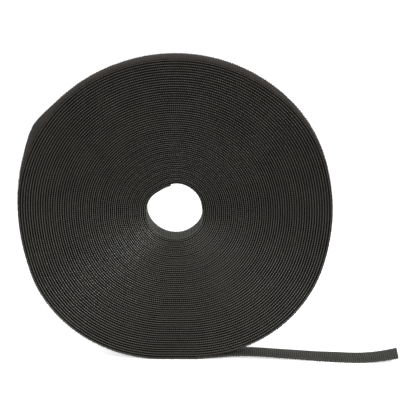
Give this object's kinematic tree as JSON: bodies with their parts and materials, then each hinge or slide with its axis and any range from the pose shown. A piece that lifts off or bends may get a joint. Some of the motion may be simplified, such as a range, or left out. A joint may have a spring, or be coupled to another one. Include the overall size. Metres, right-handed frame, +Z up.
{
  "type": "hook and loop tape roll",
  "caption": "Coreless roll of back-to-back hook and loop tape standing on its rim, with its free end laid out and bending up towards the roll.",
  "frame": {"origin": "on the surface that the roll stands on, under the roll's axis, at the middle of the tape's width", "axes": "+X along the free end of the tape, +Y through the roll from its front face to its back face, +Z up"},
  "size_m": [0.258, 0.016, 0.2119],
  "materials": {
    "hook_strip": "black nylon with rows of small hooks, slightly grey-green",
    "loop_strip": "black nylon loop pile, dull, slightly brown"
  },
  "bodies": {
    "roll": {"hook_strip_wound": "hook_strip", "loop_strip_wound": "loop_strip"},
    "tail_1": {"hook_strip_tail_1": "hook_strip", "loop_strip_tail_1": "loop_strip"},
    "tail_2": {"hook_strip_tail_2": "hook_strip", "loop_strip_tail_2": "loop_strip"},
    "tail_3": {"hook_strip_tail_3": "hook_strip", "loop_strip_tail_3": "loop_strip"},
    "tail_4": {"hook_strip_tail_4": "hook_strip", "loop_strip_tail_4": "loop_strip"},
    "tail_5": {"hook_strip_tail_5": "hook_strip", "loop_strip_tail_5": "loop_strip"}
  },
  "joints": [
    {"name": "tail_peel", "type": "hinge", "parent": "roll", "child": "tail_1", "pos_m": [0.01412, 0, 0.00075], "axis": [0, -1, 0], "range_deg": [0, 3]},
    {"name": "tail_bend_1", "type": "hinge", "parent": "tail_1", "child": "tail_2", "pos_m": [0.0418, 0, 0.00075], "axis": [0, -1, 0], "range_deg": [0, 15]},
    {"name": "tail_bend_2", "type": "hinge", "parent": "tail_2", "child": "tail_3", "pos_m": [0.06947, 0, 0.00075], "axis": [0, -1, 0], "range_deg": [0, 15]},
    {"name": "tail_bend_3", "type": "hinge", "parent": "tail_3", "child": "tail_4", "pos_m": [0.09715, 0, 0.00075], "axis": [0, -1, 0], "range_deg": [0, 15]},
    {"name": "tail_bend_4", "type": "hinge", "parent": "tail_4", "child": "tail_5", "pos_m": [0.12482, 0, 0.00075], "axis": [0, -1, 0], "range_deg": [0, 15]}
  ]
}
